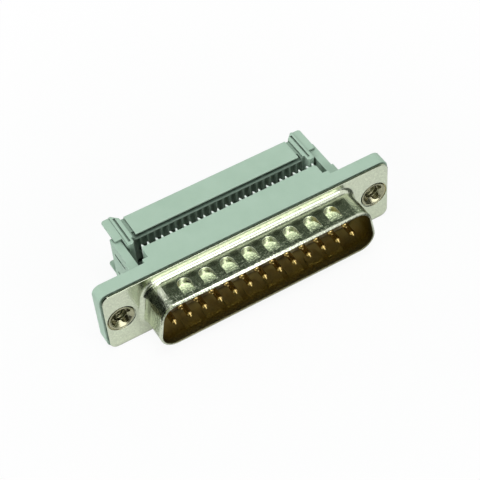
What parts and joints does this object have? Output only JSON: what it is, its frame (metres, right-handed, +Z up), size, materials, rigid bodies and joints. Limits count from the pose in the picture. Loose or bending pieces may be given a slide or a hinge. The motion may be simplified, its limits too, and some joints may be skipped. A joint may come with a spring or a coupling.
{
  "type": "ribbon cable connector",
  "caption": "Two-row pin connector with a dimpled D-shaped metal shell and a press-on rear cover that clamps flat ribbon cable onto piercing contacts.",
  "frame": {"origin": "centre of the mounting face, on the front of the flange plate", "axes": "+X along the connector, -Y out of the pin side, +Y out of the cable side, +Z up, towards the shorter pin row"},
  "size_m": [0.053, 0.0212, 0.0126],
  "materials": {
    "moulded_plastic": "fine matt moulded",
    "insulator_plastic": "dark moulded",
    "plated_steel": "bright dipped tin plating over drawn steel",
    "insert_metal": "plated, rolled into a countersink",
    "contact_metal": "gold flash over nickel"
  },
  "bodies": {
    "plug": {"housing": "moulded_plastic", "front_insulator": "insulator_plastic", "shell": "plated_steel", "insert_left": "insert_metal", "insert_right": "insert_metal", "contact_01": "contact_metal", "contact_02": "contact_metal", "contact_03": "contact_metal", "contact_04": "contact_metal", "contact_05": "contact_metal", "contact_06": "contact_metal", "contact_07": "contact_metal", "contact_08": "contact_metal", "contact_09": "contact_metal", "contact_10": "contact_metal", "contact_11": "contact_metal", "contact_12": "contact_metal", "contact_13": "contact_metal", "contact_14": "contact_metal", "contact_15": "contact_metal", "contact_16": "contact_metal", "contact_17": "contact_metal", "contact_18": "contact_metal", "contact_19": "contact_metal", "contact_20": "contact_metal", "contact_21": "contact_metal", "contact_22": "contact_metal", "contact_23": "contact_metal", "contact_24": "contact_metal", "contact_25": "contact_metal"},
    "cover": {"cover": "moulded_plastic"}
  },
  "joints": [
    {"name": "cover_press", "type": "slide", "parent": "plug", "child": "cover", "axis": [0, -1, 0], "range_m": [0, 0.0029]}
  ]
}
